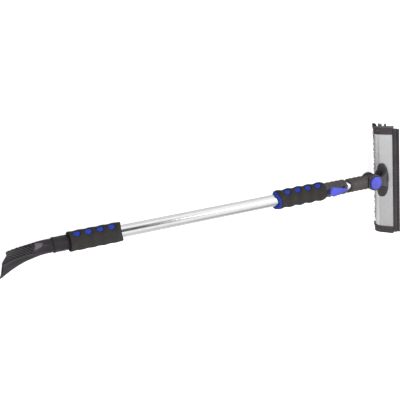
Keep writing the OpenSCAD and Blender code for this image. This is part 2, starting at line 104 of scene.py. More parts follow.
def remap(tree, value, low, high, from_low=0.3, from_high=0.7):
    """Maps a factor to a range of numbers."""
    m = tree.nodes.new("ShaderNodeMapRange")
    m.inputs["From Min"].default_value = from_low
    m.inputs["From Max"].default_value = from_high
    m.inputs["To Min"].default_value = low
    m.inputs["To Max"].default_value = high
    tree.links.new(value, m.inputs["Value"])
    return m.outputs["Result"]


def mix_colors(tree, factor, a, b):
    """From a to b as the factor goes from 0 to 1; each is a colour or a socket."""
    factor_in, a_in, b_in, color_out = 0, 6, 7, 2
    m = tree.nodes.new("ShaderNodeMix")
    m.data_type = "RGBA"
    for socket, value in ((a_in, a), (b_in, b)):
        if isinstance(value, tuple):
            m.inputs[socket].default_value = (*value, 1)
        else:
            tree.links.new(value, m.inputs[socket])
    tree.links.new(factor, m.inputs[factor_in])
    return m.outputs[color_out]


def bump(tree, shader, height, strength, depth_mm, below=None):
    """Relief on the shader, on top of the relief below."""
    b = tree.nodes.new("ShaderNodeBump")
    b.inputs["Strength"].default_value = strength
    b.inputs["Distance"].default_value = depth_mm * MM
    tree.links.new(height, b.inputs["Height"])
    if below is not None:
        tree.links.new(below, b.inputs["Normal"])
    tree.links.new(b.outputs["Normal"], shader.inputs["Normal"])
    return b.outputs["Normal"]


def shade(color, factor):
    return tuple(c * factor for c in color)


def mark_of(tree, name):
    """A mesh's own point attribute, as a factor."""
    node = tree.nodes.new("ShaderNodeAttribute")
    node.attribute_name = name
    return node.outputs["Fac"]


def moulded(name, color, rough, grain=0.5, depth=0.05, wear=0.35, specular=0.5, coat=0.0,
            marks=False):
    """Moulded plastic: eroded grain of a size and depth in millimetres, slow colour drift, scuffed
    scratches. With marks, one mesh attribute paints shade into grooves and another paints a
    highlight on a flat patch."""
    mat, tree, shader = material(name, color, rough, specular=specular, coat=coat)
    place = coordinates(tree)
    drift = noise(tree, place, size=26, detail=4)
    fine = noise(tree, place, size=grain, detail=2)
    scuff = noise(tree, coordinates(tree, stretch=(0.12, 1, 1)), size=1.1, detail=6, rough=0.7)
    tint = mix_colors(tree, remap(tree, drift, 0, 1), shade(color, 0.82), shade(color, 1.18))
    worn = remap(tree, scuff, 0, wear, from_low=0.6, from_high=0.78)
    worn_color = tuple(min(1, c * 2.2 + 0.02) for c in color)
    tint = mix_colors(tree, worn, tint, worn_color)
    if marks:
        # painted shade: the first mark darkens the ribs' valleys and the groove almost to black
        tint = mix_colors(tree, mark_of(tree, "painted_shade"), tint, shade(color, 0.06))
        # painted highlight: the second mark lightens a flat patch
        tint = mix_colors(tree, mark_of(tree, "painted_highlight"), tint, shade(color, 5.5))
    tree.links.new(tint, shader.inputs["Base Color"])
    gloss = remap(tree, scuff, low=rough * 0.85, high=min(1, rough * 1.25))
    tree.links.new(gloss, shader.inputs["Roughness"])
    first = bump(tree, shader, fine, strength=0.6, depth_mm=depth)
    bump(tree, shader, drift, strength=0.25, depth_mm=0.3, below=first)
    return mat


def metal(name, color, rough, stretch):
    """Drawn or brushed metal: fine lines along one axis, faint smears and small dull spots."""
    mat, tree, shader = material(name, color, rough, metal=1.0)
    lines = noise(tree, coordinates(tree, stretch), size=0.35, detail=5, rough=0.6)
    place = coordinates(tree)
    smear = noise(tree, place, size=18, detail=5)
    spots = noise(tree, place, size=3.2, detail=6, rough=0.75)
    tint = mix_colors(tree, remap(tree, smear, 0, 1), shade(color, 0.93), color)
    dull = remap(tree, spots, 0, 0.5, from_low=0.62, from_high=0.8)
    tint = mix_colors(tree, dull, tint, shade(color, 0.72))
    tree.links.new(tint, shader.inputs["Base Color"])
    gloss = remap(tree, lines, low=rough * 0.7, high=rough * 1.35)
    tree.links.new(gloss, shader.inputs["Roughness"])
    first = bump(tree, shader, lines, strength=0.25, depth_mm=0.02)
    bump(tree, shader, smear, strength=0.15, depth_mm=0.25, below=first)
    return mat


def foam_material():
    """Closed-cell foam: a grain of small open pores, darker in their dips as painted shade, and a
    soft colour drift.
    """
    color = (0.037, 0.035, 0.033)
    pore_pitch = 0.9
    mat, tree, shader = material("foam_grain", color, rough=0.93, specular=0.2)
    place = coordinates(tree)
    cells = tree.nodes.new("ShaderNodeTexVoronoi")
    cells.inputs["Scale"].default_value = 1 / pore_pitch
    tree.links.new(place, cells.inputs["Vector"])
    pores = cells.outputs["Distance"]
    drift = noise(tree, place, size=9, detail=4)
    fine = noise(tree, place, size=0.45, detail=3, rough=0.6)
    tint = mix_colors(tree, remap(tree, drift, 0, 1), shade(color, 0.8), shade(color, 1.25))
    # painted shade: the colour darkens towards each pore's centre, where the bump dips
    pore_shade_share = remap(tree, pores, 0, 0.5, from_low=0.0, from_high=0.5)
    tint = mix_colors(tree, pore_shade_share, shade(color, 0.45), tint)
    tree.links.new(tint, shader.inputs["Base Color"])
    first = bump(tree, shader, pores, strength=0.5, depth_mm=0.18)
    bump(tree, shader, fine, strength=0.5, depth_mm=0.12, below=first)
    return mat


SLOT_MATERIAL = {
    "scraper_plastic": moulded("scraper_grain", (0.019, 0.016, 0.020), rough=0.34, grain=0.7,
                               depth=0.03, wear=0.15, specular=0.2, marks=True),
    "black_plastic": moulded("collar_grain", (0.046, 0.039, 0.037), rough=0.42, grain=0.5,
                             depth=0.06, wear=0.3, specular=0.45),
    "yoke_plastic": moulded("yoke_grain", (0.042, 0.037, 0.044), rough=0.34, grain=0.5,
                            depth=0.05, wear=0.3, specular=0.45),
    "cap_plastic": moulded("cap_grain", (0.046, 0.036, 0.042), rough=0.42, grain=0.5,
                           depth=0.06, wear=0.3, specular=0.4),
    "blue_plastic": moulded("button_blue", (0.046, 0.054, 0.40), rough=0.25, grain=0.6,
                            depth=0.02, wear=0.10, specular=0.45, coat=0.2),
    "blue_sleeve": moulded("sleeve_blue", (0.006, 0.034, 0.33), rough=0.5, grain=0.6,
                           depth=0.05, wear=0.12, specular=0.3),
    "foam": foam_material(),
    "polished_aluminium": metal("tube_drawn", (0.93, 0.93, 0.94), 0.12, stretch=(0.02, 1, 1)),
    "satin_aluminium": metal("plate_brushed", (0.90, 0.90, 0.90), 0.32, stretch=(1, 0.03, 1)),
    "steel": metal("steel_turned", (0.62, 0.62, 0.64), 0.28, stretch=(1, 1, 0.2)),
    "white_nylon": moulded("nylon", (0.75, 0.74, 0.70), rough=0.45, grain=0.6,
                           depth=0.04, wear=0.1),
    "squeegee_rubber": moulded("rubber_skin", (0.030, 0.028, 0.032), rough=0.55, grain=0.4,
                               depth=0.05, wear=0.2, specular=0.35),
    "bristle_fibre": moulded("fibre", (0.045, 0.041, 0.046), rough=0.42, grain=1.5,
                             depth=0.05, wear=0.3, specular=0.35),
}
DARK_ZINC = metal("zinc_dark", (0.17, 0.16, 0.17), 0.42, stretch=(1, 1, 0.2))
SLOT_OF = {p["node"]: p["material_slot"] for p in frame["record"]["subparts"]}
BODIES = frame["record"]["behaviour"]["bodies"]
BODY_OF = {node: body for body, nodes in BODIES.items() for node in nodes}


def dress(obj, mat):
    """Gives a piece or a CAD node its material."""
    obj.data.materials.clear()
    obj.data.materials.append(mat)


for node_name, cad in NODES.items():
    dress(cad, SLOT_MATERIAL[SLOT_OF[node_name]])
for node_name in ("cap_screws", "scraper_rivets"):
    dress(NODES[node_name], DARK_ZINC)


# ---- mesh helpers ----

def mount(obj, body, slot, smooth=True, replaces=()):
    """Material, body and slot of a finished piece, and the CAD nodes that it stands for."""
    for face in obj.data.polygons:
        face.use_smooth = smooth
    dress(obj, SLOT_MATERIAL[slot])
    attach(obj, body)
    if replaces:
        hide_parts(*replaces)
    return obj


def linked(name, data):
    """A new object in the scene."""
    obj = bpy.data.objects.new(name, data)
    bpy.context.scene.collection.objects.link(obj)
    return obj


def bare_mesh(name, verts, faces):
    """An object from points in millimetres, not yet a piece."""
    mesh = bpy.data.meshes.new(name)
    mesh.from_pydata([tuple(float(c) * MM for c in v) for v in verts], [], faces)
    return linked(name, mesh)


def piece(name, verts, faces, body, slot, smooth=True, replaces=()):
    """A mesh from points in millimetres, riding on a body."""
    obj = bare_mesh(name, verts, faces)
    obj.data.validate()
    return mount(obj, body, slot, smooth, replaces)


def stand_in(obj, node):
    """Mounts a piece made from a CAD node in that node's place."""
    return mount(obj, BODY_OF[node], SLOT_OF[node], True, (node,))


def grid_faces(rows, columns, wrap_rows=False, wrap_columns=False, first=0, flip=False):
    """Quads between the points of a grid that were listed row by row."""
    faces = []
    for i in range(rows if wrap_rows else rows - 1):
        for j in range(columns if wrap_columns else columns - 1):
            i2, j2 = (i + 1) % rows, (j + 1) % columns
            quad = [first + i * columns + j, first + i2 * columns + j,
                    first + i2 * columns + j2, first + i * columns + j2]
            faces.append(quad[::-1] if flip else quad)
    return faces


def bake_modifiers(obj):
    """Replaces a piece's mesh with what its modifiers make of it."""
    bpy.context.view_layer.update()
    result = bpy.data.meshes.new_from_object(
        obj.evaluated_get(bpy.context.evaluated_depsgraph_get()))
    obj.modifiers.clear()
    old = obj.data
    obj.data = result
    bpy.data.meshes.remove(old)


def cut(obj, cutters):
    """Takes closed meshes out of a piece, then removes them."""
    for cutter in cutters:
        step = obj.modifiers.new("cut", "BOOLEAN")
        step.operation = "DIFFERENCE"
        step.solver = "EXACT"
        step.object = cutter
    bake_modifiers(obj)
    for cutter in cutters:
        bpy.data.objects.remove(cutter)


def softened(node, width):
    """A copy of a CAD node with its sharp edges rounded, which stands for the node."""
    weld, flat_angle, sharp_angle = 2e-6, math.radians(3), math.radians(30)
    mesh = NODES[node].data.copy()
    work = bmesh.new()
    work.from_mesh(mesh)
    bmesh.ops.remove_doubles(work, verts=work.verts, dist=weld)
    bmesh.ops.dissolve_limit(work, angle_limit=flat_angle, verts=work.verts, edges=work.edges)
    work.to_mesh(mesh)
    work.free()
    obj = linked(node + "_rounded", mesh)
    edge = obj.modifiers.new("edge", "BEVEL")
    edge.width = width * MM
    edge.segments = 2
    edge.limit_method = "ANGLE"
    edge.angle_limit = sharp_angle
    edge.harden_normals = True
    return stand_in(obj, node)


def cast(node, voxel, rounds, cutters=()):
    """A copy of a CAD node with all its edges melted round, as on a casting, then cut."""
    obj = linked(node + "_cast", NODES[node].data.copy())
    remesh = obj.modifiers.new("remesh", "REMESH")
    remesh.mode = "VOXEL"
    remesh.voxel_size = voxel * MM
    smooth = obj.modifiers.new("smooth", "SMOOTH")
    smooth.factor = 0.5
    smooth.iterations = rounds
    bake_modifiers(obj)
    cut(obj, cutters)
    return stand_in(obj, node)


def smoothstep(x, low, high):
    t = np.clip((np.asarray(x) - low) / (high - low), 0, 1)
    return t * t * (3 - 2 * t)


def mm_box(node):
    """A CAD node's box in millimetres."""
    low_corner, high_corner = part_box(node)
    return np.array(low_corner) / MM, np.array(high_corner) / MM


def ring_points(x, r, angle):
    """Rings of points around the pole; the angle runs from +Z towards +Y."""
    rings = np.broadcast_arrays(x, r * np.sin(angle), r * np.cos(angle))
    return np.stack(rings, -1).reshape(-1, 3)


# ---- foam grips ----

TUBE_R = 14.3
CORE_R = 18.0
WINDOW_R, WINDOW_COUNT, WINDOW_ANGLE = 8.5, 4, math.radians(65)
WINDOW_SIDES = 40
FOAM_CREST, FOAM_LIP = 9.0, 1.0
FOAM_STEP, FOAM_SIDES = 0.9, 150
FOAM_RIM_DROP, FOAM_RIM_WIDTH = 0.6, 1.2
WINDOW_SINK, FOAM_LUMP = 0.8, 0.2
CORE_STEP, CORE_SIDES = 0.8, 160
RING_LEN, RING_EDGE, RING_GAP = 3.5, 1.3, 0.3
MOUTH, MOUTH_TURN = 6.0, math.radians(20)
DIP, DIP_TURN = 6.0, math.radians(20)
REAR_WAVE, FRONT_WAVE = 0.5, 1.1
FRONT_GRIP_LEN = 136
REAR_BOX = mm_box("rear_grip_foam")
FOAM_R = (REAR_BOX[1][1] - REAR_BOX[0][1]) / 2 - REAR_WAVE
REAR_START = REAR_BOX[0][0]
FRONT_START = mm_box("front_grip_foam")[1][0] - FRONT_GRIP_LEN
# first is the first window's place; mouth is the depth of a forked rear end, or 0
REAR_GRIP = {"start_x": REAR_START, "first": REAR_START + 17, "pitch": 26.7,
             "wave": REAR_WAVE, "mouth": 0}
FRONT_GRIP = {"start_x": FRONT_START, "first": FRONT_START + 31, "pitch": 28.6,
              "wave": FRONT_WAVE, "mouth": MOUTH}


def foam_radius(x, first, pitch, wave):
    return FOAM_R + wave * np.cos(FULL_TURN * (x - first - FOAM_CREST) / pitch)


def sleeve_ends(x0, x1, angle, mouth):
    """Where a sleeve starts and ends around the pole. The front grip starts with a fork and ends
    flat; the rear grip starts flat, and its front end is hollowed like a fish's mouth."""
    if not mouth:
        return x0 + 0 * angle, x1 - DIP * np.cos(angle - DIP_TURN) ** 2
    y = FOAM_R * np.sin(angle + MOUTH_TURN)
    curve_r = (FOAM_R ** 2 + mouth ** 2) / (2 * mouth)
    fork = mouth - curve_r + np.sqrt(np.maximum(curve_r ** 2 - y ** 2, 0))
    return x0 + fork, x1 + 0 * angle


def window_distance(x, r, angle, first, pitch):
    """Distance to the axis of the nearest window."""
    across = r * np.sin(angle - WINDOW_ANGLE)
    return np.min([np.hypot(x - first - i * pitch, across) for i in range(WINDOW_COUNT)], axis=0)


def window_plug(x, side):
    """A closed round plug across the pole, for cutting a window."""
    out = np.array([0, math.sin(WINDOW_ANGLE), math.cos(WINDOW_ANGLE)])
    across = np.array([0, -math.cos(WINDOW_ANGLE), math.sin(WINDOW_ANGLE)])
    verts, faces = [], []
    for depth in (TUBE_R + 1, FOAM_R + 6):
        for k in range(WINDOW_SIDES):
            a = FULL_TURN * k / WINDOW_SIDES
            along = np.array([x + WINDOW_R * math.cos(a), 0, 0])
            verts.append(side * depth * out + along + WINDOW_R * math.sin(a) * across)
    for k in range(WINDOW_SIDES):
        k2 = (k + 1) % WINDOW_SIDES
        quad = [k, k2, WINDOW_SIDES + k2, WINDOW_SIDES + k]
        faces.append(quad if side < 0 else quad[::-1])
    ring = list(range(WINDOW_SIDES))
    top = [WINDOW_SIDES + k for k in ring]
    faces.append(ring[::-1] if side < 0 else ring)
    faces.append(top if side < 0 else top[::-1])
    return bare_mesh("plug", verts, faces)


def foam_sleeve(name, node, seed, start_x, first, pitch, wave, mouth):
    """A wavy foam sleeve with round windows."""
    rng = np.random.default_rng(seed)
    x0 = start_x + (RING_LEN if mouth else 0)
    x1 = mm_box(node)[1][0]
    n_x = int((x1 - x0) / FOAM_STEP)
    angle = np.linspace(0, FULL_TURN, FOAM_SIDES, endpoint=False)
    start, end = sleeve_ends(x0, x1, angle, mouth)
    x = start[None, :] + (end - start)[None, :] * np.linspace(0, 1, n_x)[:, None]
    r = foam_radius(x, first, pitch, wave)
    # the rim rounds over a little at both ends and sinks around each window
    edge = np.minimum(x - start[None, :], end[None, :] - x)
    r -= FOAM_RIM_DROP * (1 - smoothstep(edge, 0, FOAM_RIM_WIDTH)) ** 2
    near = window_distance(x, r, angle[None, :], first, pitch)
    r -= WINDOW_SINK * (1 - smoothstep(near, WINDOW_R - 0.5, WINDOW_R + 2.2))
    lumps = rng.normal(0, 1, (n_x, FOAM_SIDES))
    for _ in range(2):
        lumps = (lumps + np.roll(lumps, 1, 0) + np.roll(lumps, 1, 1) + np.roll(lumps, -1, 1)) / 4
    r = np.minimum(r + FOAM_LUMP * lumps, FOAM_R + wave - 0.02)
    rings = [ring_points(x, r, angle), ring_points(end, TUBE_R, angle),
             ring_points(end - FOAM_LIP, TUBE_R, angle), ring_points(end - FOAM_LIP, CORE_R, angle)]
    if mouth:
        rings.append(ring_points(start, CORE_R, angle))
    else:
        rings += [ring_points(x0 + FOAM_LIP, CORE_R, angle),
                  ring_points(x0 + FOAM_LIP, TUBE_R, angle), ring_points(x0, TUBE_R, angle)]
    verts = np.concatenate(rings)
    faces = grid_faces(len(verts) // FOAM_SIDES, FOAM_SIDES, wrap_rows=True, wrap_columns=True)
    obj = bare_mesh(name, verts, faces)
    cut(obj, [window_plug(first + i * pitch, side)
              for i in range(WINDOW_COUNT) for side in (-1, 1)])
    return mount(obj, "handle", "foam", True, (node,))


def core_sleeve(name, node, start_x, first, pitch, wave, mouth):
    """The soft sleeve under the foam, with studs in the windows and, in front, a forked ring."""
    x0 = start_x + (0 if mouth else FOAM_LIP)
    x1 = mm_box(node)[1][0]
    n_x = int((x1 - x0) / CORE_STEP)
    angle = np.linspace(0, FULL_TURN, CORE_SIDES, endpoint=False)
    start, end = sleeve_ends(x0, x1, angle, mouth)
    x = start[None, :] + (end - start)[None, :] * np.linspace(0, 1, n_x)[:, None]
    crown = foam_radius(x, first, pitch, wave) - 0.5
    near = window_distance(x, crown, angle[None, :], first, pitch)
    stud = 1 - smoothstep(near, WINDOW_R - 1.1, WINDOW_R - 0.35)
    r = CORE_R - 0.02 + (crown - CORE_R - 0.35 * (near / WINDOW_R) ** 2) * stud
    if mouth:
        into = x - start[None, :]
        lip = (0.9 * (1 - smoothstep(into, 0, RING_EDGE)) ** 2
               + 0.7 * smoothstep(into, RING_LEN - 1.4, RING_LEN - RING_GAP) ** 2)
        r = np.where(into < RING_LEN - RING_GAP, FOAM_R - 0.1 - lip, r)
    bore = TUBE_R + 0.01
    verts = np.concatenate([ring_points(x, r, angle), ring_points(end, bore, angle),
                            ring_points(start, bore, angle)])
    faces = grid_faces(n_x + 2, CORE_SIDES, wrap_rows=True, wrap_columns=True)
    return piece(name, verts, faces, "handle", "blue_sleeve", True, (node,))


foam_sleeve("rear_foam", "rear_grip_foam", seed=11, **REAR_GRIP)
foam_sleeve("front_foam", "front_grip_foam", seed=12, **FRONT_GRIP)
core_sleeve("rear_sleeve", "rear_grip_core", **REAR_GRIP)
core_sleeve("front_sleeve", "front_grip_core", **FRONT_GRIP)


# ---- scraper ----

TURN = math.radians(40)
BLADE_START = REAR_START - 37
BLADE_LEN, BLADE_HALF, BLADE_BEND = 112.0, 51.5, 20.0
BLADE_SECTIONS, BLADE_COLUMNS = 200, 130
COLLAR_R, COLLAR_SIDES, EDGE_T = 17.5, 96, 2.4
ROOT_R, ROOT_LEN = 15.4, 46.0
SCALLOP, SKEW = 3.0, 4.0
RIB_PITCH, RIB_HEIGHT, RIB_END = 7.4, 1.7, 40.0
RIB_NORMAL = (math.cos(math.radians(36)), math.sin(math.radians(36)))
STEP_HEIGHT, GROOVE_DEPTH, HOLLOW_DEPTH = 0.6, 1.8, 1.2
BORE_R, BORE_FLOOR = TUBE_R + 0.02, 5


def scraper_points(x, w, n):
    """From the scraper's own frame to the model's: w across the blade, n out of its hollow face."""
    c, s = math.cos(TURN), math.sin(TURN)
    points = np.broadcast_arrays(BLADE_START + x, w * c - n * s, w * s + n * c)
    return np.stack(points, -1).reshape(-1, 3)


def blade_rings():
    """Closed sections of the blade, from the round root to the scalloped edge, and two marks at
    their points: painted shade in the grooves, and a painted highlight on a flat patch."""
    n_s, n_v = BLADE_SECTIONS, BLADE_COLUMNS
    share = np.linspace(0, 1, n_s)[:, None]
    v = np.sin(np.linspace(-math.pi / 2, math.pi / 2, n_v))[None, :]
    edge = BLADE_LEN + SCALLOP * np.cos(FULL_TURN * v) - SKEW * v
    length = share * edge
    half = COLLAR_R + (BLADE_HALF - COLLAR_R) * (length / BLADE_LEN) ** 1.2
    half = np.minimum(half, BLADE_HALF)
    w = half * v
    rho = np.hypot(length, w) / BLADE_LEN
    middle = BLADE_BEND * rho ** 2.1
    thick = EDGE_T + (2 * COLLAR_R - EDGE_T) * np.maximum(0, 1 - rho) ** 2.2
    rim = np.sqrt(np.maximum(0, 1 - np.abs(v) ** 12))
    morph = smoothstep(length, 0, ROOT_LEN)
    top = middle + thick / 2 * rim
    low = middle - thick / 2 * rim
    # the far half stands a step higher and carries the slanted ribs
    far = smoothstep(w, 0.2, 1.4)
    beyond = smoothstep(length, RIB_END - 6, RIB_END + 2)
    across = (-length * RIB_NORMAL[0] + w * RIB_NORMAL[1]) / (RIB_PITCH * RIB_NORMAL[0])
    wave = np.cos(FULL_TURN * across)
    ribs = smoothstep(length, RIB_END + 4, RIB_END + 9) * far
    valley = ribs * smoothstep(wave, 0.35, -0.45)
    top += STEP_HEIGHT * beyond * far - RIB_HEIGHT * valley * np.minimum(1, (thick - 0.9) / 2)
    groove = np.exp(-((w + 0.6) / 1.1) ** 2) * smoothstep(length, 34, 48)
    top -= np.minimum(GROOVE_DEPTH, thick - 0.8) * groove
    # painted shade: the ribs' valleys, the groove and a band of the near half beside it
    rest = smoothstep(w, -16, -2) * smoothstep(w, 0.5, -3) * smoothstep(length, 52, 74)
    painted_shade = np.clip(valley + groove + 0.75 * rest, 0, 1)
    # painted highlight: a light patch on the far half between the collar and the ribs
    above = w - 8 - 0.7 * (RIB_END + 4 - length)
    painted_highlight = (0.8 * smoothstep(above, 0, 2.5) * smoothstep(length, 14, 20)
              * smoothstep(length, RIB_END + 4, RIB_END + 1))
    # the near half is hollow along the groove
    near = np.exp(-((w + 13) / 9) ** 2) * smoothstep(length, 30, 60)
    top -= np.minimum(HOLLOW_DEPTH, (thick - 1.2) * 0.6) * near
    circle = ROOT_R * np.sqrt(1 - v ** 2)
    w = (1 - morph) * ROOT_R * v + morph * w
    top = (1 - morph) * circle + morph * top
    low = -(1 - morph) * circle + morph * low
    upper = scraper_points(-length, w, top).reshape(n_s, n_v, 3)
    lower = scraper_points(-length, w, low).reshape(n_s, n_v, 3)[:, ::-1]
    underside = np.zeros((n_s, n_v - 2))
    marks = [np.concatenate([m * np.ones_like(w), underside], axis=1) for m in (painted_shade, painted_highlight)]
    return np.concatenate([upper, lower[:, 1:-1]], axis=1), marks


def scraper_piece():
    """The scraper: a collar with a blind bore around the tube, and the ribbed blade."""
    rings, marks = blade_rings()
    n_s, n_loop = rings.shape[:2]
    verts = [rings.reshape(-1, 3)]
    faces = grid_faces(n_s, n_loop, wrap_columns=True)
    faces.append(list(range(n_loop)))
    faces.append([(n_s - 1) * n_loop + k for k in range(n_loop)][::-1])
    angle = np.linspace(0, FULL_TURN, COLLAR_SIDES, endpoint=False)
    back, front = BLADE_START, REAR_START - 0.05
    profile = [(back + 0.2, 1), (back - 0.2, ROOT_R - 1), (back - 0.2, COLLAR_R - 0.9),
               (back + 0.2, COLLAR_R - 0.3), (back + 0.9, COLLAR_R), (back + 4, COLLAR_R),
               (back + 4.4, COLLAR_R - 0.5), (front - 0.6, COLLAR_R - 0.5), (front, COLLAR_R - 0.9),
               (front, BORE_R), (back + BORE_FLOOR, BORE_R), (back + BORE_FLOOR, 1)]
    verts += [ring_points(x, r, angle) for x, r in profile]
    faces += grid_faces(len(profile), COLLAR_SIDES, wrap_rows=True, wrap_columns=True,
                        first=n_s * n_loop)
    points = np.concatenate(verts)
    obj = piece("scraper_blade", points, faces, "handle", "scraper_plastic", True, ("scraper",))
    # the two marks carry the painted shade and the painted highlight
    for name, mark in zip(("painted_shade", "painted_highlight"), marks):
        layer = obj.data.attributes.new(name, "FLOAT", "POINT")
        layer.data.foreach_set("value", np.pad(mark.reshape(-1), (0, len(points) - mark.size)))


scraper_piece()


# ---- the head's own frame ----

PIVOT_X, HEAD_REACH, HEAD_SHIFT = 476.0, 40.0, -7.5
HEAD_TILT, HEAD_TURN = math.radians(-50), math.radians(1.3)


def head_point(u, y, w):
    """From the head's frame to the model's: u runs to the squeegee, w out of the plate."""
    c, s = math.cos(HEAD_TILT), math.sin(HEAD_TILT)
    ct, st = math.cos(HEAD_TURN), math.sin(HEAD_TURN)
    out, along = HEAD_REACH + u * c + w * s, y + HEAD_SHIFT
    turned = (PIVOT_X + out * ct - along * st, out * st + along * ct, -u * s + w * c)
    return np.stack(np.broadcast_arrays(*turned), -1)


# ---- bristles ----

BLOCK_DEPTH, HEAD_HALF = 16.0, 137.0
ROWS, ROW_FIRST, ROW_PITCH = 3, -18.0, 8.0
ROW_FAN, SPLAY = 7.0, 18.5
TUFT_PITCH, TUFT_REACH = 14.0, 126.0
TUFT_ROOT_U, TUFT_ROOT_Y = 1.7, 2.2
TUFT_SPREAD_Y, TUFT_LIMIT_Y = 6.6, 7.6
END_OUT = 6.0
FILAMENTS, BRISTLE_LEN = 90, 30.0
FIBRE_RINGS, FIBRE_SIDES = 4, 3


def fibre(base, tip, width, spin, start):
    """Points and faces of one tapered, bent filament; start is the number of points before it."""
    verts = []
    for k in range(FIBRE_RINGS):
        t = k / (FIBRE_RINGS - 1)
        bow = t ** 1.35
        p = base + np.array([tip[0] * bow, tip[1] * bow, tip[2] * t])
        size = width * (1 - 0.45 * t)
        for m in range(FIBRE_SIDES):
            b = spin + FULL_TURN * m / FIBRE_SIDES
            verts.append(head_point(p[0] + size * math.cos(b), p[1] + size * math.sin(b), p[2]))
    faces = grid_faces(FIBRE_RINGS, FIBRE_SIDES, wrap_columns=True, first=start, flip=True)
    last = start + FIBRE_SIDES * FIBRE_RINGS - 1
    return verts, faces + [[start, start + 1, start + 2], [last, last - 1, last - 2]]


def bristle_field():
    """Tufts of filaments in staggered rows that lean towards the handle, the row nearest to it
    most. The tufts at the ends of a row are fuller and lean outwards."""
    rng = np.random.default_rng(5)
    verts, faces = [], []
    for row in range(ROWS):
        lean = row * ROW_FAN - SPLAY
        inner_limit = 5 if row < ROWS - 1 else 1.8
        shift = (row % 2) * TUFT_PITCH / 2
        roots = list(np.arange(shift - TUFT_REACH, TUFT_REACH + 0.1, TUFT_PITCH))
        roots += [-TUFT_REACH, TUFT_REACH] if shift else []
        for y_root in roots:
            tuft_lean = rng.normal(0, 0.5, 2)
            ends = END_OUT * smoothstep(abs(y_root), TUFT_REACH - 12, TUFT_REACH) * np.sign(y_root)
            full = smoothstep(abs(y_root), TUFT_REACH - 8, TUFT_REACH)
            spread_u = 1.6 + 3.6 * full
            for _ in range(int(FILAMENTS * (1 + 2 * full))):
                a, q = rng.uniform(0, FULL_TURN), math.sqrt(rng.uniform(0, 1))
                du, dy = q * math.cos(a), q * math.sin(a)
                length = BRISTLE_LEN - rng.uniform(0.7, 2.4)
                lean_here = lean * (length / BRISTLE_LEN)
                tip_u = (lean_here + du * spread_u * (1 - 0.6 * abs(dy) * (1 - full))
                         + tuft_lean[0])
                wander = dy * TUFT_SPREAD_Y + tuft_lean[1] + rng.normal(0, 0.5)
                tip_y = y_root + ends + np.clip(wander, -TUFT_LIMIT_Y, TUFT_LIMIT_Y)
                tip = np.array([np.clip(tip_u, lean - 1.4, lean + inner_limit),
                                np.clip(tip_y, -HEAD_HALF, HEAD_HALF) - y_root, -length])
                base = np.array([ROW_FIRST + row * ROW_PITCH + du * TUFT_ROOT_U,
                                 y_root + dy * TUFT_ROOT_Y, -BLOCK_DEPTH + 0.5])
                width = rng.uniform(0.32, 0.46)
                spin = rng.uniform(0, FULL_TURN)
                new_verts, new_faces = fibre(base, tip, width, spin, len(verts))
                verts += new_verts
                faces += new_faces
    return piece("tufts", verts, faces, "head", "bristle_fibre", False, ("bristles",))


bristle_field()


# ---- plate ----

PLATE_HALF = 125.0
PLATE_FLAT, FLAT_END, PLATE_ROUND, PLATE_T = 22.0, -9.0, 19.0, 1.6
ROUND_END, ROUND_STEPS, PLATE_SECTIONS = math.radians(80), 40, 30


def plate_sheet():
    """The bent sheet: flat on the squeegee's side, rolled down on the other."""
    angle = np.linspace(0, ROUND_END, ROUND_STEPS)

    def face(inward):
        r = PLATE_ROUND - inward
        bend = np.stack([FLAT_END - r * np.sin(angle), r * np.cos(angle) - PLATE_ROUND], -1)
        flat = [(PLATE_FLAT, -inward), (PLATE_FLAT - 0.4, -inward), (FLAT_END + 6, -inward)]
        return np.concatenate([flat, bend])

    section = np.concatenate([face(0), face(PLATE_T)[::-1]])
    along = np.linspace(-PLATE_HALF, PLATE_HALF, PLATE_SECTIONS)
    n_y, n_s = len(along), len(section)
    points = head_point(section[None, :, 0], along[:, None], section[None, :, 1]).reshape(-1, 3)
    faces = grid_faces(n_y, n_s, wrap_columns=True)
    faces.append(list(range(n_s)))
    faces.append([(n_y - 1) * n_s + k for k in range(n_s)][::-1])
    obj = piece("plate_sheet", points, faces, "head", "satin_aluminium", True, ("head_plate",))
    obj.data.set_sharp_from_angle(angle=math.radians(40))


plate_sheet()


# ---- moulded pieces that keep the CAD shape, with their edges rounded or melted ----

SEAT_R, SEAT_LOW, SEAT_HIGH, SEAT_SIDES = 16.3, 15.0, 30.0, 96


def seat_cutter():
    """The button's seat in the near ear, cut again after the melting so that the button has its
    travel."""
    turn = np.linspace(0, FULL_TURN, SEAT_SIDES, endpoint=False)
    ring = np.stack([PIVOT_X + SEAT_R * np.cos(turn), SEAT_R * np.sin(turn)], -1)
    verts = [(x, y, z) for z in (SEAT_LOW, SEAT_HIGH) for x, y in ring]
    faces = []
    for k in range(SEAT_SIDES):
        k2 = (k + 1) % SEAT_SIDES
        faces.append((k, k2, SEAT_SIDES + k2, SEAT_SIDES + k))
    faces += [list(range(SEAT_SIDES))[::-1], list(range(SEAT_SIDES, 2 * SEAT_SIDES))]
    return bare_mesh("seat_cutter", verts, faces)


def coil_spring():
    """The CAD's spring as a piece of its own, with a mesh of its own."""
    obj = linked("spring_coil", NODES["button_spring"].data.copy())
    stand_in(obj, "button_spring")
    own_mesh(obj)


for soft_node, soft_width in (("clamp_collar", 0.5), ("neck", 0.5),
                              ("end_cap_left", 0.9), ("end_cap_right", 0.9),
                              ("squeegee_rail", 0.4), ("squeegee_blade", 0.25),
                              ("pin_nut", 0.3), ("brush_block", 0.5)):
    softened(soft_node, soft_width)
coil_spring()
cast("lock_lever", voxel=0.4, rounds=8)
cast("yoke", voxel=0.6, rounds=7, cutters=[seat_cutter()])


# ---- camera, floor and light ----

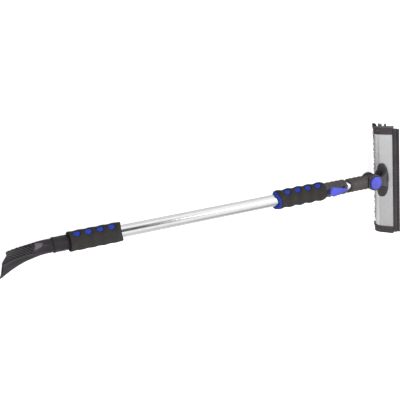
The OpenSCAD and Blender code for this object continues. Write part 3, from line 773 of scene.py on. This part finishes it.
CAMERA_PLACE = (-0.82073, 0.65223, 1.81610)
CAMERA_RIGHT = Vector((0.90237, -0.05621, 0.42729))
CAMERA_FORWARD = Vector((0.39386, -0.29492, -0.87057))
CAMERA_LENS = 81.58
FLOOR_GAP, FLOOR_REACH = 0.0005, 6.0
PAPER_DARK, PAPER_LIGHT, PAPER_GLOW = (0.41, 0.41, 0.41), (0.44, 0.44, 0.44), 0.78
GLOSS_LEVEL, CORNER_SHARE = 0.98, 0.5
EVEN_LOW, EVEN_HIGH = 0.05, 2.1
LEAN_X, LEAN_Y, LEAN_Z = 0.40, -0.35, 0.85


def camera():
    """The camera that was fitted to the pole's, the head's and the blade's edges."""
    data = bpy.data.cameras.new("view")
    cam = linked("view", data)
    right, forward = CAMERA_RIGHT.normalized(), CAMERA_FORWARD.normalized()
    up = right.cross(forward).normalized()
    right = forward.cross(up)
    cam.matrix_world = Matrix((
        (right.x, up.x, -forward.x, CAMERA_PLACE[0]),
        (right.y, up.y, -forward.y, CAMERA_PLACE[1]),
        (right.z, up.z, -forward.z, CAMERA_PLACE[2]),
        (0, 0, 0, 1)))
    data.sensor_width = 36
    data.lens = CAMERA_LENS
    data.clip_start, data.clip_end = 0.05, 50
    bpy.context.scene.camera = cam


def floor():
    """A pale sloping plane just under the lowest points of the scraper and of the bristles."""
    scraper_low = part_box("scraper")[0]
    tips_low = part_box("bristles")[0]
    x0, z0 = scraper_low.x, scraper_low.z - FLOOR_GAP
    x1, z1 = tips_low.x, tips_low.z - FLOOR_GAP
    slope = (z1 - z0) / (x1 - x0)
    mesh = bpy.data.meshes.new("floor")
    corners = [(x, y, z0 + slope * (x - x0)) for x, y in
               ((-FLOOR_REACH, -FLOOR_REACH), (FLOOR_REACH, -FLOOR_REACH),
                (FLOOR_REACH, FLOOR_REACH), (-FLOOR_REACH, FLOOR_REACH))]
    mesh.from_pydata(corners, [], [(0, 1, 2, 3)])
    obj = linked("floor", mesh)
    mat, tree, shader = material("floor_paper", (0.93, 0.93, 0.93), rough=0.9, specular=0.1)
    blotch = noise(tree, coordinates(tree), size=120, detail=3)
    paper = mix_colors(tree, remap(tree, blotch, 0, 1), PAPER_DARK, PAPER_LIGHT)
    tree.links.new(paper, shader.inputs["Base Color"])
    # the camera alone sees the paper glow; its glow doesn't light the object
    path = tree.nodes.new("ShaderNodeLightPath")
    shader.inputs["Emission Color"].default_value = (1, 1, 1, 1)
    glow = remap(tree, path.outputs["Is Camera Ray"], 0, PAPER_GLOW, from_low=0, from_high=1)
    tree.links.new(glow, shader.inputs["Emission Strength"])
    mesh.materials.append(mat)


def world():
    """A white studio. The even light falls mostly from above; what gloss mirrors has the dark and
    grey cards of a photo tent."""
    w = bpy.data.worlds.new("studio")
    bpy.context.scene.world = w
    w.use_nodes = True
    tree = w.node_tree
    back = tree.nodes["Background"]
    place = tree.nodes.new("ShaderNodeTexCoord")
    parts = tree.nodes.new("ShaderNodeSeparateXYZ")
    tree.links.new(place.outputs["Generated"], parts.inputs["Vector"])
    x, y, z = (parts.outputs[k] for k in "XYZ")

    def soft(value, a, b, low=0.0, high=1.0):
        """From low at a to high at b."""
        m = tree.nodes.new("ShaderNodeMapRange")
        m.interpolation_type = "SMOOTHSTEP"
        for socket, number in (("From Min", a), ("From Max", b), ("To Min", low), ("To Max", high)):
            m.inputs[socket].default_value = number
        tree.links.new(value, m.inputs["Value"])
        return m.outputs["Result"]

    def math_node(kind, a, b):
        m = tree.nodes.new("ShaderNodeMath")
        m.operation = kind
        for i, value in enumerate((a, b)):
            if isinstance(value, (int, float)):
                m.inputs[i].default_value = value
            else:
                tree.links.new(value, m.inputs[i])
        return m.outputs[0]

    angle = math_node("ARCTAN2", y, z)
    degree = math.pi / 180
    # a black card overhead, which the pole mirrors near the scraper
    card = math_node("MULTIPLY", soft(angle, -10 * degree, 8 * degree),
                     soft(angle, 62 * degree, 38 * degree))
    card = math_node("MULTIPLY", card, soft(x, 0.40, 0.33))
    card = math_node("MULTIPLY", card, soft(x, -0.1, 0.15))
    # grey towards the near horizon, deeper on the head's side
    side = soft(angle, -8 * degree, -75 * degree)
    depth = soft(x, 0.30, 0.46, low=0.34, high=0.62)
    grey = math_node("MULTIPLY", side, depth)
    level = math_node("SUBTRACT", GLOSS_LEVEL, grey)
    level = math_node("MULTIPLY", level, math_node("SUBTRACT", 1.0, card))
    # the even light falls mostly from above, a little from the head's near side
    lean = math_node("ADD", math_node("MULTIPLY", x, LEAN_X), math_node("MULTIPLY", y, LEAN_Y))
    lean = math_node("ADD", lean, math_node("MULTIPLY", z, LEAN_Z))
    even = soft(lean, -0.7, 1.0, low=EVEN_LOW, high=EVEN_HIGH)
    # the plate mirrors the handle's side of the room, which is greyer towards the near corner
    corner = math_node("MULTIPLY", soft(x, -0.45, -0.7), soft(y, -0.15, -0.42))
    level = math_node("SUBTRACT", level, math_node("MULTIPLY", corner, CORNER_SHARE))
    path = tree.nodes.new("ShaderNodeLightPath")
    mixed = tree.nodes.new("ShaderNodeMix")
    factor_in, even_in, level_in = 0, 2, 3
    tree.links.new(path.outputs["Is Glossy Ray"], mixed.inputs[factor_in])
    tree.links.new(even, mixed.inputs[even_in])
    tree.links.new(level, mixed.inputs[level_in])
    back.inputs["Color"].default_value = (1, 1, 1, 1)
    tree.links.new(mixed.outputs[0], back.inputs["Strength"])


def area_light(name, place, target, size, power):
    data = bpy.data.lights.new(name, "AREA")
    data.shape = "RECTANGLE"
    data.size, data.size_y = size
    data.energy = power
    obj = linked(name, data)
    obj.location = place
    obj.rotation_mode = "QUATERNION"
    obj.rotation_quaternion = (Vector(target) - Vector(place)).to_track_quat("-Z", "Y")


camera()
floor()
world()
area_light("key", place=(1.6, 1.0, 2.0), target=(0.3, 0, 0), size=(1.2, 1.0), power=12)
bpy.context.scene.view_settings.view_transform = "Standard"
